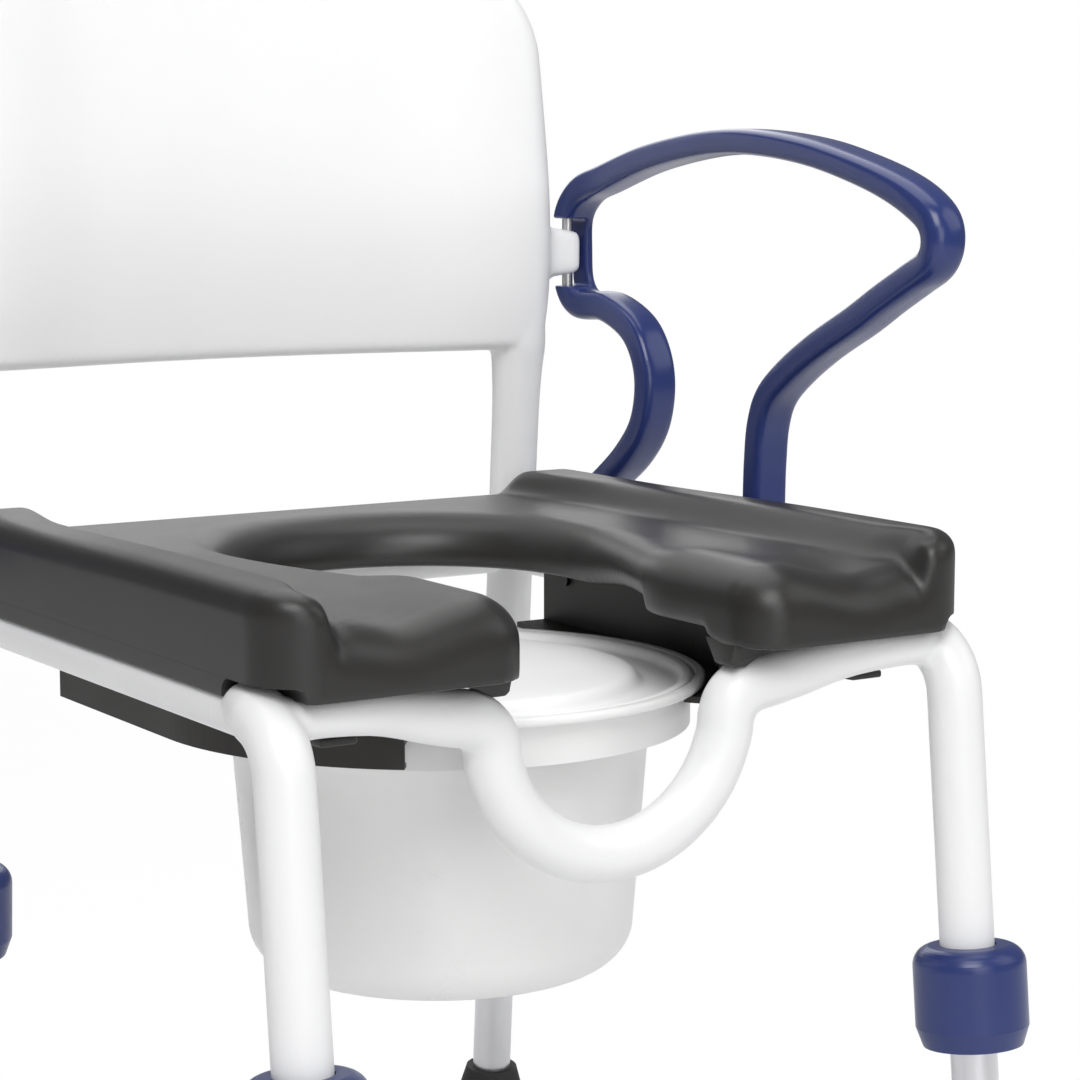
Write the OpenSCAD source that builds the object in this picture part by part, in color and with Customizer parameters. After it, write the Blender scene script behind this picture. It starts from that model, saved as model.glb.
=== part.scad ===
// Shower and commode chair: a white coated tube frame with four height-adjustable legs,
// a clip-on padded seat with a keyhole opening, a lidded pan on two side runners,
// a moulded back and two armrests that swing out of the way.
// The origin is on the floor, under the middle of the pan. The sitter faces -Y and the
// sitter's left is +X. The right armrest is drawn swung open, the left one closed.

/* [Seat] */
// Width of the seat pad over its skirts
seat_w = 484; // [460:1:520]
// Distance of the seat's front edge from the middle of the pan
seat_front = 236; // [230:1:250]
// Distance of the seat's rear edge from the middle of the pan
seat_rear = 225; // [210:1:230]
// Thickness of the pad over the side rails
pad_t = 40; // [30:1:55]
// Depth of the skirt below the pad's underside
skirt_h = 6; // [3:0.5:8]
// Radius of the pad's corners, seen from above
seat_corner_r = 38; // [20:1:60]
// Radius of the long side bolsters
bolster_r = 24; // [16:1:30]
// Radius of the round part of the opening
opening_r = 115; // [100:1:120]
// Distance of the opening's middle behind the middle of the pan
opening_y = 30; // [10:1:45]
// Width of the gap between the two front lobes
gap_w = 152; // [130:1:165]
// Width of the slope that runs down into the opening
slope_w = 34; // [15:1:40]
// Length of the bosses that seat the lobes on the bridge
boss_len = 34; // [20:1:45]
// Width of those bosses
clip_w = 25; // [20:1:27]
// Height of those bosses
clip_h = 14; // [10:0.5:15]

/* [Frame] */
// Height of the pan's rim above the floor with the legs pushed in
rim_h = 415; // [400:5:460]
// Outer diameter of the legs and back posts
tube_d = 34; // [32:0.5:36]
// Outer diameter of the side rails
rail_d = 28; // [24:0.5:30]
// Outer diameter of the rear crossbar
crossbar_d = 25; // [20:0.5:26]
// Wall of the frame's tubes
tube_wall = 2; // [1.5:0.1:3]
// Distance of the front legs' axes inside the edge of the seat
leg_inset = 10; // [6:0.5:14]
// Height of the side rails' axes above the pan's rim
rail_rise = 26.5; // [24:0.5:34]
// Radius of the bend that joins a front leg to its rail
bend_r = 70; // [55:1:80]
// Lean of the front legs, forwards as they go down
front_lean = 6; // [3:0.5:8]
// Lean of the rear legs, backwards as they go down
rear_lean = 4; // [2:0.5:6]
// Distance of the back posts' axes inside the edge of the seat
post_inset = 23; // [20:0.5:28]
// Distance of the posts' axes behind the middle of the pan at the height of the pivots
post_y = 247; // [245:1:260]

/* [Front bridge] */
// Radius of the dip, along the axis of the tube
dip_r = 84; // [78:1:90]
// Gap between the pan's rim and the tube of the dip
dip_gap = 8; // [5:0.5:12]
// Height of the centre of the dip's arc above the pan's rim
dip_rise = 5; // [0:1:8]
// Half of the tube's thickness in the dip
dip_half = 17; // [14:0.5:18]
// Half of the height of the flattened arms
arm_half_h = 11; // [9:0.5:12]
// Half of the depth of the flattened arms
arm_half_d = 14.5; // [10:0.5:16]

/* [Legs] */
// Distance from the pan's rim down to the top of the collars, along the leg
collar_drop = 158; // [150:1:170]
// Height of a collar
collar_h = 62; // [50:1:75]
// Radius of a collar at its shoulder
collar_r = 35; // [30:0.5:40]
// Outer diameter of the telescopic inner legs
inner_d = 29; // [26:0.1:29.4]
// Wall of the inner legs
inner_wall = 1.8; // [1.2:0.1:3]
// Travel of the inner legs
leg_travel = 100; // [50:25:100]
// Pitch of the height holes
hole_pitch = 25; // [20:1:30]
// Diameter of the height holes
hole_d = 8; // [5:0.5:9]
// Diameter of a release button
button_d = 15; // [10:0.5:18]
// Length of a release button
button_l = 12; // [10:0.5:14]
// Travel of a release button
button_travel = 3; // [2:0.5:4]
// Radius of a rubber foot at the floor
foot_r = 27; // [22:0.5:32]
// Height of a rubber foot
foot_h = 34; // [25:1:45]

/* [Pan] */
// Gap between the pan's rim and the walls of its holders
rim_gap = 16; // [12:0.5:20]
// Width of the rim outside the collar band
rim_w = 10; // [8:0.5:14]
// Depth of the pan below its rim
pan_depth = 188; // [150:1:195]
// Height of the collar band
band_h = 27; // [20:1:30]
// Width of the step between the collar band and the body
step_w = 26; // [20:1:32]
// Loss of radius from the top of the body to its rounded bottom edge
body_taper = 10; // [6:1:16]
// Radius of the rounding at the bottom
body_round = 28; // [15:1:35]
// Wall of the pan
pan_wall = 3; // [2:0.1:4]
// Height of the lid's raised middle
dome_h = 11; // [8:0.5:11]
// Width of the lid's flat edge outside the raised middle
lid_flat_w = 35; // [28:1:50]

/* [Pan holders] */
// Gap between the holders' walls and the side rails
holder_gap = 25; // [22:0.5:30]
// Wall of the holders
holder_wall = 4; // [3:0.5:5]
// Depth of the holders below the pan's rim
holder_low = 24; // [18:1:30]
// Height of the holders above the pan's rim
holder_high = 34; // [30:1:36]
// Thickness of the ledge that carries the rim
ledge_t = 4; // [3:0.5:6]
// Distance of the holders' rear ends behind the middle of the pan
holder_rear = 165; // [140:1:190]
// Angle that each holder runs round the front of the pan
holder_wrap = 53; // [40:1:58]
// Diameter of the holders' screw bosses
boss_d = 16; // [14:0.5:20]

/* [Back] */
// Height of the back's lower edge above the pan's rim
back_low = 183; // [175:1:200]
// Height of the back's top edge above the pan's rim
back_high = 470; // [420:5:520]
// Thickness of the back in its middle
back_t = 20; // [14:0.5:26]
// Distance that the middle of the back bows away from the sitter
back_bow = 26; // [10:1:35]
// Lean of the upper back
back_lean = 9; // [4:0.5:14]
// Height above the pan's rim where the back starts to lean
lean_from = 285; // [280:1:300]
// Radius of the back's top corners
back_corner_r = 75; // [40:1:110]
// Depth of the sockets that take the posts
socket_depth = 102; // [90:1:110]
// Wall of the back outside the posts
back_edge = 5; // [4:0.5:8]

/* [Armrests] */
// Distance of an armrest's pivot outside the edge of the seat
pivot_out = 20; // [18:0.5:24]
// Distance of the pivots behind the middle of the pan
pivot_y = 250; // [248:0.5:254]
// Width of the bar of an armrest, across the chair
bar_w = 28; // [26:0.5:30]
// Thickness of the bar in its own plane
bar_t = 20; // [17:0.5:22]
// Width of the armrest's top pad
top_w = 36; // [30:0.5:40]
// Distance of the armrest's bar outside its pivot axis
bar_out = 4; // [3:0.5:5]
// Diameter of the upper pivot pins
upper_pin_d = 8; // [6:0.5:9]
// Diameter of the lower pivot pins
lower_pin_d = 12; // [10:0.5:14]
// Height of the lugs at their root
lug_h = 40; // [34:0.5:42]
// Thickness of the lugs, from front to rear
lug_t = 16; // [12:0.5:16]
// Height of the lugs' middle above the pan's rim
lug_rise = 254; // [250:0.5:258]
// Height that a lug loses at each edge on the way to its tip
lug_taper = 4.5; // [2:0.5:6]
// Height of the notch that takes a lug
notch_h = 50; // [46:0.5:54]
// Thickness of the bracket under each armrest
bracket_t = 8; // [6:0.5:9]
// Angle that an armrest swings through
arm_swing = 90; // [60:5:95]

/* [Fits] */
// Gap between pieces that only lie against each other
seat_gap = 0.4; // [0.3:0.05:0.6]
// Radial clearance of the hinge pins
pin_gap = 0.08; // [0.05:0.01:0.1]
// Radial clearance of a tube that is pressed into a socket
socket_gap = 0.15; // [0.1:0.05:0.3]
// Radial clearance of sliding pieces
slide_gap = 0.4; // [0.3:0.05:0.6]

/* [Hidden] */
rail_z = rim_h + rail_rise;
rail_r = rail_d / 2;
tube_r = tube_d / 2;
leg_x = seat_w / 2 - leg_inset;
// The rail is flush with the inner side of the wider leg tube
rail_x = leg_x - (tube_r - rail_r);
holder_r = rail_x - rail_r - holder_gap;
pan_r = holder_r - holder_wall - rim_gap;
band_r = pan_r - rim_w;
body_top_r = band_r - step_w;
body_low_r = body_top_r - body_taper;
dip_y = pan_r + dip_gap + dip_half;
post_x = seat_w / 2 - post_inset;
pad_z = rail_z + rail_r + seat_gap;
pad_top = pad_z + pad_t;
skirt_z = pad_z - skirt_h;
pivot_x = seat_w / 2 + pivot_out;
bar_x = pivot_x + bar_out;

// Front leg: the bend's centre is straight below the end of the rail
leg_back = 2;
leg_top_y = -(seat_front - leg_back);
bend_y = leg_top_y + bend_r * cos(front_lean);
bend_z = rail_z - bend_r;
rail_front = bend_y;
leg_top_z = bend_z + bend_r * sin(front_lean);
// The outer legs end on the step inside their collars
collar_top = -(leg_top_z - (rim_h - collar_drop));
leg_len = collar_h / 2 - collar_top;

// Rear leg and post: one straight tube, given by the point at the height of the lugs
post_top_z = rim_h + back_low + socket_depth;
lug_z = rim_h + lug_rise;
rear_leg_y = post_y + (lug_z - leg_top_z) * tan(rear_lean);
post_len = (post_top_z - leg_top_z) / cos(rear_lean);

collar_bore = tube_r + socket_gap;
// Place of a release button, as a share of the collar's height below its top
button_at = 0.62;
button_z = collar_top - collar_h * button_at;
inner_r = inner_d / 2;
bore_r = tube_r - tube_wall;
foot_wall = 4;
leg_gap = 3;
inner_top_gap = 6;

// Pan and lid
rim_t = 6;
bead_r = 3;
lid_t = 4;
lid_r = pan_r - 7;
lid_seat_z = rim_h - lid_t;
dome_r = lid_r - lid_flat_w;

// Pan holders
ledge_r = band_r + 3;
flange_t = 2.4;
flange_w = 5;
boss_at = [15, 135];
screw_d = 5;
screw_head_t = 3;

// Back
back_base = rim_h + back_low;
back_trim = 3;
back_seam = post_x - tube_r - 3 * back_edge;
back_top = rim_h + back_high;
mouth_wall = 2;
mouth_h = 48;
// Stations over the half width, closer together at the rounded edge
back_stations = [0, 0.14, 0.28, 0.42, 0.54, 0.66, 0.76, 0.85, 0.91, 0.95, 0.98, 0.995, 1];

// Armrest heights above the pan's rim
hub_low = rail_rise + rail_r + seat_gap + bracket_t + seat_gap;
hub_r = bar_w / 2;
pin_reach = 18;

$fn = 96;

// ---- Curves and sweeps ----

function unit(v) = v / norm(v);

// Point at t on the smooth curve from p1 to p2, with its neighbours p0 and p3
function curve_point(p0, p1, p2, p3, t) =
    0.5 * (2 * p1 + (p2 - p0) * t + (2 * p0 - 5 * p1 + 4 * p2 - p3) * t * t
    + (3 * p1 - p0 - 3 * p2 + p3) * t * t * t);

// Smooth curve through all the stations, with steps pieces between each two
function smooth(s, steps) = concat(
    [for (i = [0 : len(s) - 2]) for (j = [0 : steps - 1])
        curve_point(s[max(i - 1, 0)], s[i], s[i + 1], s[min(i + 2, len(s) - 1)], j / steps)],
    [s[len(s) - 1]]);

function place(s) = [s[0], s[1], s[2]];

// Direction of the curve at station i
function heading(s, i) = unit(place(s[min(i + 1, len(s) - 1)]) - place(s[max(i - 1, 0)]));

// One section: half sizes s[3] along side and s[4] across it, rounded by the exponent k
function section(s, dir, side, n, k) =
    let (b = unit(side - (side * dir) * dir), c = cross(dir, b))
    [for (j = [0 : n - 1])
        let (u = cos(360 * j / n), v = sin(360 * j / n))
        place(s) + b * s[3] * sign(u) * pow(abs(u), k) + c * s[4] * sign(v) * pow(abs(v), k)];

// Skin over rings of n points each, closed at both ends
module skin(rings, n) {
    last = len(rings) - 1;
    polyhedron(
        points = [for (r = rings) for (p = r) p],
        faces = concat(
            [[for (j = [0 : n - 1]) n - 1 - j]],
            [for (i = [0 : last - 1]) for (j = [0 : n - 1])
                [i * n + j, i * n + (j + 1) % n, (i + 1) * n + (j + 1) % n, (i + 1) * n + j]],
            [[for (j = [0 : n - 1]) last * n + j]]));
}

module sweep(stations, side, steps, n, k) {
    s = smooth(stations, steps);
    skin([for (i = [0 : len(s) - 1]) section(s[i], heading(s, i), side, n, k)], n);
}

// ---- Placing ----

// Stands a part along a front leg: the origin is where the bend ends, -Z runs down the leg
module on_front_leg(side) {
    translate([side * leg_x, leg_top_y, leg_top_z]) rotate([-front_lean, 0, 0]) children();
}

// Stands a part along a rear leg, level with the top of the front legs
module on_rear_leg(side) {
    translate([side * post_x, rear_leg_y, leg_top_z]) rotate([rear_lean, 0, 0]) children();
}

// Draws a left armrest's part in place on either side, the right one swung open
module on_arm(side) {
    turn = side > 0 ? 0 : -arm_swing;
    translate([side * pivot_x, pivot_y, 0]) rotate([0, 0, turn])
        translate([-side * pivot_x, -pivot_y, 0]) mirror([side > 0 ? 0 : 1, 0, 0]) children();
}

module on_side(side) {
    mirror([side > 0 ? 0 : 1, 0, 0]) children();
}

// ---- Frame ----

// Straight part of a front leg
module front_leg(side) {
    color("whitesmoke") on_front_leg(side) translate([0, 0, -leg_len]) difference() {
        cylinder(h = leg_len, r = tube_r);
        translate([0, 0, -1]) cylinder(h = leg_len + 2, r = bore_r);
    }
}

// Sweeps a tube's section round the bend from a front leg to its side rail
module bend(side) {
    translate([side * leg_x, bend_y, bend_z]) rotate([0, -90, 0]) rotate([180, 0, 0])
        rotate_extrude(angle = 90 - front_lean) translate([bend_r, 0]) children();
}

// Elbow that turns a front leg back into its side rail
module leg_elbow(side) {
    color("whitesmoke") bend(side) difference() {
        circle(r = tube_r);
        circle(r = bore_r);
    }
}

module side_rail(side) {
    color("whitesmoke") difference() {
        translate([side * rail_x, rail_front, rail_z]) rotate([-90, 0, 0])
            cylinder(h = rear_leg_y - rail_front, r = rail_r);
        translate([side * rail_x, rail_front - 1, rail_z]) rotate([-90, 0, 0])
            cylinder(h = rear_leg_y - rail_front, r = rail_r - tube_wall);
        on_rear_leg(side) translate([0, 0, -100]) cylinder(h = 200, r = tube_r);
    }
}

// Rear leg and back post, one tube from the collar up into the back
module rear_leg(side) {
    post_len = (post_top_z - leg_top_z) / cos(rear_lean);
    color("whitesmoke") difference() {
        on_rear_leg(side) translate([0, 0, -leg_len]) cylinder(h = leg_len + post_len, r = tube_r);
        on_rear_leg(side) translate([0, 0, -leg_len - 1]) cylinder(h = leg_len + post_len + 2, r = bore_r);
    }
}

module rear_crossbar() {
    bar_y = post_y + (lug_z - rail_z) * tan(rear_lean);
    color("whitesmoke") difference() {
        translate([-post_x, bar_y, rail_z]) rotate([0, 90, 0]) difference() {
            cylinder(h = 2 * post_x, r = crossbar_d / 2);
            translate([0, 0, -1]) cylinder(h = 2 * post_x + 2, r = crossbar_d / 2 - tube_wall);
        }
        for (side = [-1, 1]) on_rear_leg(side) translate([0, 0, -100]) cylinder(h = 200, r = tube_r);
    }
}

// One arm of the bridge, from the bottom of the dip to the leg
function bridge_arm() = let (flat_z = rail_z + 0.5, top = rim_h + dip_rise) [
    for (a = [0 : 18 : 90]) [dip_r * sin(a), -dip_y, top - dip_r * cos(a), dip_half, dip_half],
    [dip_r + 7, -dip_y - 2, top + 14, dip_half - 1, dip_half - 2],
    [dip_r + 26, -dip_y - 6, flat_z + 0.5, arm_half_d + 1, arm_half_h + 1.5],
    [leg_x - 78, -dip_y - 12, flat_z + 0.5, arm_half_d, arm_half_h],
    [leg_x - 34, -dip_y - 15, flat_z, arm_half_d, arm_half_h],
    [leg_x - 9, -dip_y - 17, flat_z - 3, arm_half_d + 1, arm_half_h + 3]
];

function mirrored(s) = [for (i = [len(s) - 1 : -1 : 1]) [-s[i][0], s[i][1], s[i][2], s[i][3], s[i][4]]];

module front_bridge() {
    half = bridge_arm();
    color("whitesmoke") difference() {
        sweep(concat(mirrored(half), half), [0, 1, 0], 4, 20, 0.85);
        for (side = [-1, 1]) bend(side) circle(r = tube_r);
    }
}

// Lug on a post: it carries the upper pivot of an armrest
module lug(side) {
    tip_x = pivot_x + lug_t / 2;
    tip_h = lug_h / 2 - lug_taper;
    color("whitesmoke") on_side(side) difference() {
        translate([0, 0, lug_z]) intersection() {
            translate([0, 0, -lug_h / 2]) linear_extrude(height = lug_h) union() {
                translate([post_x, pivot_y - lug_t / 2]) square([pivot_x - post_x, lug_t]);
                translate([pivot_x, pivot_y]) circle(r = lug_t / 2);
            }
            translate([0, pivot_y + lug_t, 0]) rotate([90, 0, 0]) linear_extrude(height = 2 * lug_t)
                polygon([[post_x, -lug_h / 2], [post_x, lug_h / 2], [tip_x, tip_h], [tip_x, -tip_h]]);
        }
        on_rear_leg(1) cylinder(h = post_len, r = tube_r);
        translate([pivot_x, pivot_y, lug_z - lug_h]) cylinder(h = 2 * lug_h, r = upper_pin_d / 2);
    }
}

// Plate on the end of a side rail that carries an armrest's lower pivot pin
module arm_bracket(side) {
    low = rail_z + rail_r;
    color("whitesmoke") on_side(side) difference() {
        translate([0, 0, low]) linear_extrude(height = bracket_t) union() {
            translate([post_x, pivot_y - hub_r]) square([pivot_x - post_x, 2 * hub_r]);
            translate([pivot_x, pivot_y]) circle(r = hub_r);
        }
        on_rear_leg(1) cylinder(h = post_len, r = tube_r);
        translate([pivot_x, pivot_y, low - 1]) cylinder(h = bracket_t + 2, r = lower_pin_d / 2);
    }
}

// ---- Back ----

// Line of the back seen from the side: along the posts, then leaning away
function back_y(z) = post_y + (lug_z - min(z, rim_h + lean_from)) * tan(rear_lean)
    + max(0, z - rim_h - lean_from) * tan(back_lean);

// Smooth step from 0 to 1
function ease(t) = let (c = min(1, max(0, t))) c * c * (3 - 2 * c);

// Wall of the back outside a post: it thins towards the mouth of the socket
function back_wall(z) = mouth_wall + (back_edge - mouth_wall) * ease((z - back_base) / mouth_h);

// Half width of the back at a height, with round top corners
function back_half(z) = let (up = max(0, z - (back_top - back_corner_r)))
    post_x + tube_r + back_wall(z) - back_corner_r + sqrt(back_corner_r * back_corner_r - up * up);

// Half thickness of the back at x, for a half width of half: thick round the posts, thin between.
// The shares mid and side thin those two parts where the back's lower and top edges are rounded
function back_thick(x, half, z, mid, side) = let (
        r = tube_r + back_wall(z), t = ease(2 * x / post_x - 1), e = min(1, (half - x) / r))
    (mid * back_t / 2 * (1 - t) + side * r * t) * sqrt(1 - (1 - e) * (1 - e));

// How far the middle of the back's thickness lies behind the posts at x
function back_off(x) = back_bow * pow(1 - pow(min(1, x / post_x), 2), 2);

// One face of a level section, from right to left where way is 1
function back_face(z, mid, side, way, rows) = let (half = back_half(z)) [for (q = rows)
    [q * half, back_y(z) + back_off(abs(q) * half) - way * back_thick(abs(q) * half, half, z, mid, side), z]];

// Levels of the back: height, and the shares of the middle's and the sides' thickness
function back_levels() = let (round_low = 8, round_top = 9, turn = 15) concat(
    [[back_base - back_trim, 0.45, 1]],
    [for (a = [0 : 30 : 60]) [back_base + round_low * (1 - cos(a)), 0.45 + 0.55 * sin(a), 1]],
    [for (h = [round_low, mouth_h / 4, mouth_h / 2, 0.75 * mouth_h, mouth_h]) [back_base + h, 1, 1]],
    [for (h = [-turn, turn]) [rim_h + lean_from + h, 1, 1]],
    [[back_top - back_corner_r, 1, 1]],
    [for (a = [15 : 15 : 60]) [back_top - back_corner_r * (1 - sin(a)), 1, 1]],
    [for (a = [30 : 30 : 90]) let (share = 0.4 + 0.6 * cos(a))
        [back_top - round_top * (1 - sin(a)), share, share]]);

// Whole form of the back, flat at its lower end
module back_form() {
    n = len(back_stations);
    left_to_right = concat([for (i = [n - 1 : -1 : 1]) -back_stations[i]], back_stations);
    inner = [for (i = [2 * n - 3 : -1 : 1]) left_to_right[i]];
    rings = [for (l = back_levels()) concat(
        back_face(l[0], l[1], l[2], 1, left_to_right), back_face(l[0], l[1], l[2], -1, inner))];
    difference() {
        skin(rings, len(rings[0]));
        translate([-seat_w, 0, back_base - 2 * back_trim]) cube([2 * seat_w, 2 * post_y, 2 * back_trim]);
    }
}

// Thin middle of the back, between its two thick sides
module back_panel() {
    color("whitesmoke") intersection() {
        back_form();
        translate([-back_seam, 0, rim_h]) cube([2 * back_seam, 2 * post_y, 2 * back_high]);
    }
}

// Thick side of the back, with the socket for a post and the window that a lug passes through
module back_side(side) {
    slot = lug_t + 2 * seat_gap;
    color("whitesmoke") on_side(side) difference() {
        intersection() {
            back_form();
            translate([back_seam, 0, rim_h]) cube([seat_w, 2 * post_y, 2 * back_high]);
        }
        on_rear_leg(1) cylinder(h = post_len, r = collar_bore);
        translate([post_x, pivot_y - slot / 2, lug_z - lug_h / 2 - seat_gap])
            cube([tube_r + 2 * back_edge, slot, lug_h + 2 * seat_gap]);
    }
}

// ---- Adjustable legs: drawn on an axis whose origin is the top of the leg's straight ----

// Half section of a collar: a taper at the foot, a straight side and a round shoulder
module collar_profile() {
    low = collar_top - collar_h;
    round_r = 12;
    polygon(concat(
        [[inner_r + slide_gap, low], [collar_r - 4, low], [collar_r, low + 12]],
        [for (a = [0 : 10 : 80]) [collar_r - round_r * (1 - cos(a)), collar_top - round_r * (1 - sin(a))]],
        [[collar_bore, collar_top], [collar_bore, collar_top - collar_h / 2],
            [inner_r + slide_gap, collar_top - collar_h / 2]]));
}

module collar() {
    color("midnightblue") difference() {
        rotate_extrude() collar_profile();
        translate([collar_r - button_l - 1, 0, button_z]) rotate([0, 90, 0])
            cylinder(h = button_l + 6, r = button_d / 2 + slide_gap);
    }
}

// Push button in the side of a collar, standing proud by a little more than its travel
module button() {
    proud = button_travel + 1;
    color("dimgray") translate([collar_r + proud - button_l, 0, button_z])
        rotate([0, 90, 0]) cylinder(h = button_l - button_travel + 2, r = button_d / 2);
}

// The leg's foot end is given by the length left down to the floor
module inner_leg(drop) {
    len = drop - foot_wall - inner_top_gap;
    color("silver") difference() {
        translate([0, 0, -inner_top_gap - len]) cylinder(h = len, r = inner_r);
        translate([0, 0, -inner_top_gap - len - 1]) cylinder(h = len + 2, r = inner_r - inner_wall);
        // Height holes on the button's side, the lowest in use with the legs pushed in
        for (h = [0 : hole_pitch : leg_travel]) translate([0, 0, button_z + h])
            rotate([0, 90, 0]) cylinder(h = inner_r + 1, r = hole_d / 2);
    }
}

module foot(drop, lean) {
    color("dimgray") difference() {
        translate([0, 0, -drop]) difference() {
            rotate_extrude() union() {
                translate([0, -6]) square([foot_r, 14]);
                polygon([[0, 7], [foot_r, 8], [inner_r + 5, foot_h], [0, foot_h]]);
            }
            translate([0, 0, foot_wall]) cylinder(h = foot_h, r = inner_r);
        }
        translate([0, 0, -drop]) rotate([lean, 0, 0]) translate([-100, -100, -50]) cube([200, 200, 50]);
    }
}

front_drop = leg_top_z / cos(front_lean);
rear_drop = leg_top_z / cos(rear_lean);

// ---- Pan ----

module pan() {
    low = -pan_depth;
    shoulder = -band_h - 4;
    color("gainsboro") translate([0, 0, rim_h]) rotate_extrude() difference() {
        union() {
            // Rim with a round bead
            translate([band_r - pan_wall - 1, -rim_t])
                square([pan_r - bead_r - band_r + pan_wall + 1, rim_t]);
            translate([pan_r - bead_r, -bead_r]) circle(r = bead_r);
            translate([band_r - pan_wall, -band_h]) square([pan_wall, band_h - rim_t + 1]);
            translate([body_top_r - pan_wall, shoulder]) square([band_r - body_top_r + pan_wall, 4]);
            polygon([[body_low_r - pan_wall, low + body_round], [body_low_r, low + body_round],
                [body_top_r, shoulder + 1], [body_top_r - pan_wall, shoulder + 1]]);
            intersection() {
                difference() {
                    translate([body_low_r - body_round, low + body_round]) circle(r = body_round);
                    translate([body_low_r - body_round, low + body_round]) circle(r = body_round - pan_wall);
                }
                translate([body_low_r - body_round, low]) square([body_round, body_round + 0.01]);
            }
            translate([0, low]) square([body_low_r - body_round + 0.01, pan_wall]);
        }
        // Seat for the lid
        translate([0, -lid_t - seat_gap / 2]) square([lid_r + slide_gap, lid_t + 1]);
    }
}

// Flat rim, a groove, and a raised middle with a dished top
module pan_lid() {
    groove_r = lid_r - 4;
    color("gainsboro") translate([0, 0, lid_seat_z]) rotate_extrude() difference() {
        union() {
            square([lid_r, lid_t]);
            polygon([[0, lid_t - 1], [dome_r, lid_t - 1], [dome_r - 5, lid_t + dome_h - 4],
                [dome_r - 14, lid_t + dome_h], [dome_r - 26, lid_t + dome_h], [0, lid_t + dome_h - 5]]);
        }
        translate([groove_r, lid_t + 0.4]) circle(r = 1.4);
        polygon([[0, -1], [dome_r - 6, -1], [dome_r - 10, dome_h - 2], [dome_r - 18, dome_h],
            [dome_r - 26, dome_h], [0, dome_h - 5]]);
    }
}

// ---- Pan holders ----

// Points round the front of the pan, from the side of the pan forwards
function holder_arc(r) = [for (i = [0 : 24]) [r * cos(holder_wrap * i / 24), -r * sin(holder_wrap * i / 24)]];

function reversed(list) = [for (i = [len(list) - 1 : -1 : 0]) list[i]];

// Plan of a left holder's wall, ledge or flange: straight at the rear, then round the pan
module holder_plan(r_in, r_out) {
    polygon(concat([[r_in, holder_rear]], holder_arc(r_in), reversed(holder_arc(r_out)), [[r_out, holder_rear]]));
}

module pan_holder(side) {
    wall_in = holder_r - holder_wall;
    wall_mid = holder_r - holder_wall / 2;
    ledge_low = rim_h - rim_t - seat_gap - ledge_t;
    color("black") on_side(side) difference() {
        union() {
            translate([0, 0, rim_h - holder_low]) linear_extrude(height = holder_low + holder_high)
                holder_plan(wall_in, holder_r);
            translate([0, 0, ledge_low]) linear_extrude(height = ledge_t)
                holder_plan(ledge_r, wall_mid);
            // Stiffening flange along the lower edge
            translate([0, 0, rim_h - holder_low]) linear_extrude(height = flange_t)
                holder_plan(wall_in - flange_w, wall_mid);
            for (y = boss_at) translate([wall_mid, y, rail_z]) rotate([0, 90, 0])
                cylinder(h = rail_x - wall_mid, r = boss_d / 2);
        }
        translate([rail_x, -seat_front, rail_z]) rotate([-90, 0, 0])
            cylinder(h = seat_front + seat_rear, r = rail_r);
        for (y = boss_at) translate([wall_in - 1, y, rail_z]) rotate([0, 90, 0])
            cylinder(h = rail_x - wall_in, r = screw_d / 2);
    }
}

// Pan-head screws that hold the holders to the side rails
module holder_screws() {
    color("silver") for (side = [-1, 1]) for (y = boss_at) on_side(side)
        translate([holder_r - holder_wall, y, rail_z]) rotate([0, 90, 0]) {
            cylinder(h = rail_x - rail_r - holder_r + holder_wall, r = screw_d / 2);
            translate([0, 0, -screw_head_t]) cylinder(h = screw_head_t, r = screw_d);
        }
}

// ---- Seat ----

// Seat outline: a rectangle with round corners
module seat_outline() {
    half = seat_w / 2;
    difference() {
        translate([-half, -seat_front]) square([seat_w, seat_front + seat_rear]);
        for (sx = [-1, 1]) for (y = [-seat_front, seat_rear]) {
            sy = y < 0 ? -1 : 1;
            difference() {
                translate([sx > 0 ? half - seat_corner_r : -half, sy > 0 ? y - seat_corner_r : y])
                    square(seat_corner_r);
                translate([sx * (half - seat_corner_r), y - sy * seat_corner_r]) circle(r = seat_corner_r);
            }
        }
    }
}

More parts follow.
